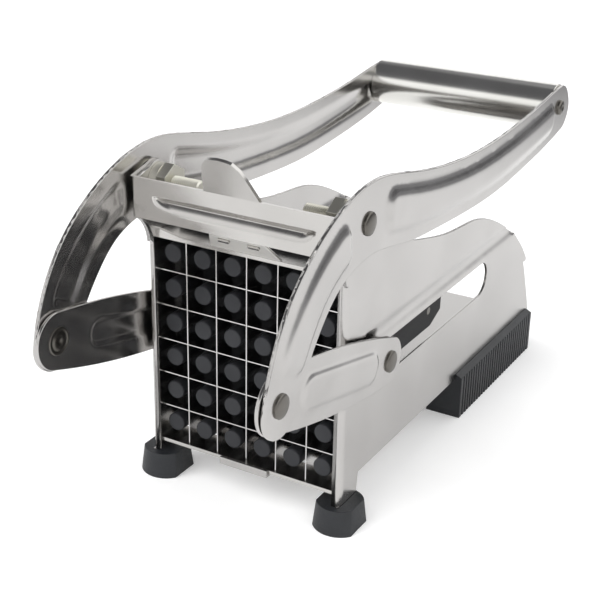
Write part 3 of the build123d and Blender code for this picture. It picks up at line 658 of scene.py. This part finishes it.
# ---------------------------------------------------------------- pusher
# Moulded black ABS: a plate with a peg for each cell, screwed to a steel backplate, and a rail at
# each side that runs in the wall's slot on a bush.
def moulded_black(name, light, shade, smooth, rough, grain, dent, shine=0.5):
    """Moulded plastic or rubber: the mould's fine texture over a slow change of tone.

    light and shade end its tone, and smooth and rough its roughness. grain is the texture's spacing in
    metres, dent how strongly it stands out, and shine how much the surface mirrors.
    """
    material = bpy.data.materials.new(name)
    tree = bare(material)
    place = put(tree, "ShaderNodeTexCoord").outputs["Object"]
    drift = put(  # clouds some 17 mm across, as wide as the melt's flow lines
        tree, "ShaderNodeTexNoise", values={"Scale": 60.0, "Detail": 3.0}, links={"Vector": place}
    )
    texture = put(
        tree,
        "ShaderNodeTexNoise",
        values={"Scale": 1 / grain, "Detail": 2.0},
        links={"Vector": place},
    )
    tone = put(
        tree,
        "ShaderNodeValToRGB",
        links={"Fac": drift.outputs["Fac"]},
        stops=[(0.3, shade), (0.7, light)],
    )
    polish = put(
        tree,
        "ShaderNodeMapRange",
        values={"From Min": 0.3, "From Max": 0.7, "To Min": smooth, "To Max": rough},
        links={"Value": texture.outputs["Fac"]},
    )
    relief = put(
        tree,
        "ShaderNodeBump",
        values={"Strength": dent, "Distance": 0.0002},
        links={"Height": texture.outputs["Fac"]},
    )
    body = put(
        tree,
        "ShaderNodeBsdfPrincipled",
        values={"Specular IOR Level": shine},
        links={
            "Base Color": tone.outputs["Color"],
            "Roughness": polish.outputs["Result"],
            "Normal": relief.outputs["Normal"],
        },
    )
    put(tree, "ShaderNodeOutputMaterial", links={"Surface": body.outputs["BSDF"]})
    return material


# Moulded ABS gives the eye a dull charcoal black, with a wide faint highlight on each peg.
pusher_plastic = moulded_black("moulded_black_abs", "303134", "28292C", 0.38, 0.5, 0.0005, 0.10, 0.3)
# Moulded acetal hardly catches the light. Its deeper black is partly painted shade, for the rails and
# bushes that lie in the walls' slots.
rail_plastic_painted_shade = moulded_black("moulded_black_acetal_painted_shade", "161618", "101012", 0.45, 0.55, 0.0005, 0.08, 0.15)
eased("pusher_block", pusher_plastic, edge=0.0003, sharp=35)
eased("pusher_backplate", wall_steel)
for hand in ("left", "right"):
    eased(f"{hand}_guide_rail", rail_plastic_painted_shade, edge=0.0004)
    eased(f"{hand}_slot_bush", rail_plastic_painted_shade, edge=0.0003)

# ---------------------------------------------------------------- lever arms and links
# Pressed stainless sheet, bowed over the pivot, with one rib down the front limb and one along the
# handle. The links carry the pull from the arms' feet to the pusher's bushes.
# The walls' steel, a little smoother: the eye gets crisp light and dark bands along the ribs.
arm_steel = rolled_steel("bright_rolled_stainless_arm", (1.0, 0.06, 1.0), smooth=0.15, rough=0.23)
for hand in ("left", "right"):
    pressed(f"{hand}_lever_arm", arm_steel, soft=0.0014)
    pressed(f"{hand}_link", arm_steel, soft=0.0009, fine=0.0005)


# ---------------------------------------------------------------- fasteners
# Headed rivets and bolts of zinc-plated steel, their heads domed by the punch. The pivot bolts are
# threaded inside the walls, and the lower rivets are spread over the links with a dimple.
def turned(profile, axis, way=1):
    """A body turned about an axis across the cutter, from (along, radius) pairs in mm, end to end.

    axis gives the axis's place along Y and its height, and way is -1 for a body on the left.
    """
    facets, crease = 56, math.radians(32)
    shape = bmesh.new()
    rings = []
    for along, radius in profile:
        turns = [math.tau * step / facets for step in range(facets if radius else 1)]
        rings.append([
            shape.verts.new((
                way * along / 1000,
                (axis[0] + radius * math.cos(turn)) / 1000,
                (axis[1] + radius * math.sin(turn)) / 1000,
            ))
            for turn in turns
        ])
    for before, after in zip(rings, rings[1:]):
        for step in range(facets):
            ring = [before[step % len(before)], before[(step + 1) % len(before)]]
            ring += [after[(step + 1) % len(after)], after[step % len(after)]]
            shape.faces.new(list(dict.fromkeys(ring)))
    bmesh.ops.recalc_face_normals(shape, faces=shape.faces)
    for line in shape.edges:
        line.smooth = line.calc_face_angle(0.0) < crease
    for face in shape.faces:
        face.smooth = True
    mesh = bpy.data.meshes.new("turned")
    shape.to_mesh(mesh)
    shape.free()
    return mesh


def rows_and_columns():
    """Geometry nodes that set copies of a piece in rows and columns on a body."""
    tree = bpy.data.node_groups.new("rows_and_columns", "GeometryNodeTree")
    for name, kind in (
        ("Body", "Geometry"),
        ("Piece", "Object"),
        ("Columns", "Int"),
        ("Column Step", "Vector"),
        ("Rows", "Int"),
        ("Row Step", "Vector"),
        ("First Place", "Vector"),
        ("Finish", "Material"),
    ):
        tree.interface.new_socket(name, in_out="INPUT", socket_type=f"NodeSocket{kind}")
    tree.interface.new_socket("Body", in_out="OUTPUT", socket_type="NodeSocketGeometry")
    given = put(tree, "NodeGroupInput").outputs
    column = put(
        tree,
        "GeometryNodeMeshLine",
        {"mode": "OFFSET"},
        links={
            "Count": given["Columns"],
            "Start Location": given["First Place"],
            "Offset": given["Column Step"],
        },
    )
    row = put(
        tree,
        "GeometryNodeMeshLine",
        {"mode": "OFFSET"},
        links={"Count": given["Rows"], "Offset": given["Row Step"]},
    )
    crossed = put(
        tree,
        "GeometryNodeInstanceOnPoints",
        links={"Points": row.outputs["Mesh"], "Instance": column.outputs["Mesh"]},
    )
    places = put(tree, "GeometryNodeRealizeInstances", links={"Geometry": crossed.outputs["Instances"]})
    piece = put(tree, "GeometryNodeObjectInfo", links={"Object": given["Piece"]})
    copies = put(
        tree,
        "GeometryNodeInstanceOnPoints",
        links={"Points": places.outputs["Geometry"], "Instance": piece.outputs["Geometry"]},
    )
    whole = put(tree, "GeometryNodeJoinGeometry", links={"Geometry": copies.outputs["Instances"]})
    tree.links.new(given["Body"], whole.inputs["Geometry"])
    real = put(tree, "GeometryNodeRealizeInstances", links={"Geometry": whole.outputs["Geometry"]})
    dressed = put(
        tree,
        "GeometryNodeSetMaterial",
        links={"Geometry": real.outputs["Geometry"], "Material": given["Finish"]},
    )
    put(tree, "NodeGroupOutput", links={"Body": dressed.outputs["Geometry"]})
    return tree


def repeated(name, body, piece, settings):
    """A plain mesh of a body with copies of a piece set on it in rows and columns."""
    whole = bpy.data.objects.new(name, body)
    scene.collection.objects.link(whole)
    array = whole.modifiers.new("rows_and_columns", "NODES")
    array.node_group = copier
    settings = {"Piece": bpy.data.objects.new(f"{name}_one", piece), **settings}
    for socket in copier.interface.items_tree:
        if socket.in_out == "INPUT" and socket.name in settings:
            array[socket.identifier] = settings[socket.name]
    evaluated = whole.evaluated_get(bpy.context.evaluated_depsgraph_get())
    mesh = bpy.data.meshes.new_from_object(evaluated)
    bpy.data.objects.remove(settings["Piece"])
    bpy.data.objects.remove(whole)
    return bpy.data.objects.new(name, mesh)


copier = rows_and_columns()
even, fine_grain = (1.0, 1.0, 1.0), 0.0004
# Zinc plate on turned steel gives the eye a warm pale grey, dull enough to blur what it mirrors.
turned_steel = rolled_steel("zinc_plated_turned_steel", even, "E2E0D6", "D8D6CB", 0.38, 0.46, fine_grain)
# Headed steel, burnished by the punch, is darker, with one small bright spot on each dome.
headed_steel = rolled_steel("headed_steel", even, "787570", "67645F", 0.26, 0.34, fine_grain)

# Places in mm: the axes as (along Y, height), and the rest out from the cutter's middle. The pairs
# below are (along, radius), from a head's seat outwards and from a swage's face.
lever_pivot, lower_pin, slide_pin = (-65.55, 116), (-120.05, 74), (-39.85, 55.4)
bolt_end, stud_start, spacer_inner, bolt_seat = 20.8, 32.2, 35.9, 44.65
swage_face, pin_end, link_outer, arm_outer = 41, 41.3, 42.8, 44.6
root, stud, shank = 2.4, 2.8, 2.95
thread_pitch, thread_from, plated_within = 0.0008, 0.0214, 0.04  # metres

dome = [(0.0, 4.1), (0.4, 4.1), (0.62, 4.03), (0.82, 3.84), (0.98, 3.45), (1.11, 2.85)]
dome += [(1.21, 2.05), (1.27, 1.2), (1.3, 0.0)]
swage = [(0.3, 0.0), (0.26, 0.55), (0.1, 1.1), (0.02, 1.6), (0.0, 2.1), (0.06, 2.7), (0.2, 3.15)]
swage += [(0.3, 3.5), (0.26, 3.9), (0.12, 4.25), (0.08, 4.5), (0.14, 4.8), (0.26, 4.97), (0.4, 5.0)]
ridge = [(-0.36, root), (-0.08, 2.78), (0.08, 2.78), (0.36, root), (-0.36, root)]

bolt = [(bolt_end, 0.0), (bolt_end, 2.0), (21.2, root), (stud_start, root), (stud_start, stud)]
bolt += [(spacer_inner, stud), (spacer_inner, shank), (bolt_seat, shank)]
bolt += [(bolt_seat + along, radius) for along, radius in dome]
rivet = [(swage_face + along, radius) for along, radius in swage] + [(41.4, shank), (arm_outer, shank)]
rivet += [(arm_outer + along, radius) for along, radius in dome]
link_pin = [(pin_end, 0.0), (pin_end, 2.6), (41.6, shank), (link_outer, shank)]
link_pin += [(link_outer + along, radius) for along, radius in dome]
for hand, way in (("left", -1), ("right", 1)):
    thread = {
        "Columns": 14,
        "Column Step": (way * thread_pitch, 0, 0),
        "Rows": 1,
        "Row Step": (0, 0, 0),
        "First Place": (way * thread_from, 0, 0),
        "Finish": turned_steel,
    }
    piece = repeated(
        f"{hand}_threaded_bolt", turned(bolt, lever_pivot, way), turned(ridge, lever_pivot, way), thread
    )
    seat(piece, f"{hand}_pivot_bolt", headed_steel)
    piece.data.materials.append(turned_steel)
    for face in piece.data.polygons:
        face.material_index = int(abs(face.center.x) < plated_within)
    piece = bpy.data.objects.new(f"{hand}_spread_rivet", turned(rivet, lower_pin, way))
    seat(piece, f"{hand}_lower_rivet", headed_steel)
    piece = bpy.data.objects.new(f"{hand}_link_pin", turned(link_pin, slide_pin, way))
    seat(piece, f"{hand}_link_rivet", headed_steel)
    for node in ("pivot_washer", "pivot_spacer", "pivot_nut"):
        eased(f"{hand}_{node}", turned_steel, edge=0.00015)
    eased(f"{hand}_guide_screw", headed_steel, edge=0.0001)
eased("backplate_screws", turned_steel, edge=0.0001)

# ---------------------------------------------------------------- grip
# A drawn stainless tube between the arms' ends, with a moulded plug in each end and a steel rod
# through both, headed outside each arm.
# Drawn tube gives the eye a nearly white mirror with long streaks and one clear bright band.
grip_steel = rolled_steel("drawn_stainless_tube", (0.03, 1.0, 1.0), "EFEEEA", "E4E3DE", 0.17, 0.22)
eased("grip_tube", grip_steel)
grip_axis, rod_radius = (117.45, 115), 2.2
button = [(0.0, 3.3), (0.6, 3.3), (0.95, 3.18), (1.25, 2.85), (1.45, 2.3), (1.57, 1.75)]
button += [(1.6, 1.45), (1.5, 1.1), (1.3, 0.7), (1.25, 0.0)]
rod = [(-arm_outer - along, radius) for along, radius in reversed(button)]
rod += [(-arm_outer, rod_radius), (arm_outer, rod_radius)]
rod += [(arm_outer + along, radius) for along, radius in button]
piece = bpy.data.objects.new("headed_rod", turned(rod, grip_axis))
seat(piece, "grip_tie_rod", headed_steel)
for hand in ("left", "right"):
    eased(f"{hand}_grip_plug", pusher_plastic)

# ---------------------------------------------------------------- feet
# Soft black rubber: a cup pushed on each front leg, and a ribbed pad clipped under the rear of each
# wall. Both keep the cutter from sliding.
# Moulded rubber, a little dusty, gives the eye a grey black with wide, dull highlights.
foot_rubber = moulded_black("moulded_black_rubber", "24262A", "191B1E", 0.4, 0.55, 0.0007, 0.15)
for hand in ("left", "right"):
    eased(f"{hand}_front_foot", foot_rubber, edge=0.0006, sharp=35, steps=3)
    eased(f"{hand}_rear_pad", foot_rubber, edge=0.0003)
